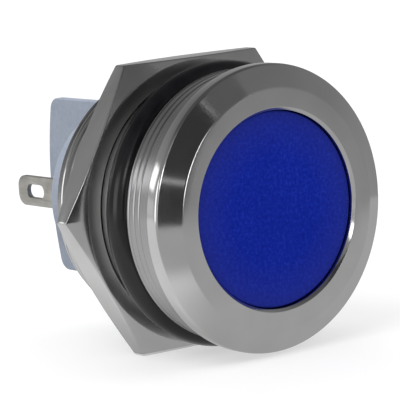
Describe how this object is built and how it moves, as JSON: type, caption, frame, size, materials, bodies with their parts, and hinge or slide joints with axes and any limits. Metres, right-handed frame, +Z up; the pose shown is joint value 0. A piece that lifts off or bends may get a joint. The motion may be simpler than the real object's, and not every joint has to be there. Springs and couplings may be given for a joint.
{
  "type": "panel pilot light",
  "caption": "Blue metal-bezel pilot light for a 22 mm panel hole, with sealing ring, hexagonal panel nut and two solder lugs either side of an insulating fin",
  "frame": {"origin": "on the lamp's axis at the panel seat, the plane under the bezel head that clamps against the front of the panel", "axes": "+Y runs back through the panel towards the solder lugs, so the lens faces -Y; +Z is up along the insulating fin; +X is to the right as the lens is faced, on the positive lug's side"},
  "size_m": [0.0296, 0.0331, 0.0256],
  "materials": {
    "plated_brass": "bright nickel plate on turned brass",
    "plated_nut": "bright nickel plate",
    "blue_lens": "satin deep blue, light-diffusing",
    "gasket_rubber": "matte",
    "ring_rubber": "satin black",
    "white_plastic": "matte white",
    "board": "white solder mask",
    "diode_body": "moulded white",
    "component_black": "moulded black",
    "tinned_wire": "tinned copper",
    "grey_plastic": "moulded blue-grey, fine satin",
    "tinned_lug": "dull tin plate on stamped brass",
    "sealant": "clear glossy sealant"
  },
  "bodies": {
    "lamp": {"bezel_housing": "plated_brass", "lens": "blue_lens", "lens_gasket": "gasket_rubber", "panel_o_ring": "ring_rubber", "reflector": "white_plastic", "led_board": "board", "led_1": "diode_body", "led_2": "diode_body", "led_3": "diode_body", "led_4": "diode_body", "resistor_1": "component_black", "resistor_2": "component_black", "polarity_diode": "component_black", "wire_positive": "tinned_wire", "wire_negative": "tinned_wire", "rear_insulator": "grey_plastic", "terminal_positive": "tinned_lug", "terminal_negative": "tinned_lug", "sealant_positive": "sealant", "sealant_negative": "sealant"},
    "nut": {"hex_nut": "plated_nut"}
  },
  "joints": [
    {"name": "nut_travel", "type": "slide", "parent": "lamp", "child": "nut", "axis": [0, 1, 0], "range_m": [-0.0014, 0.024]}
  ]
}
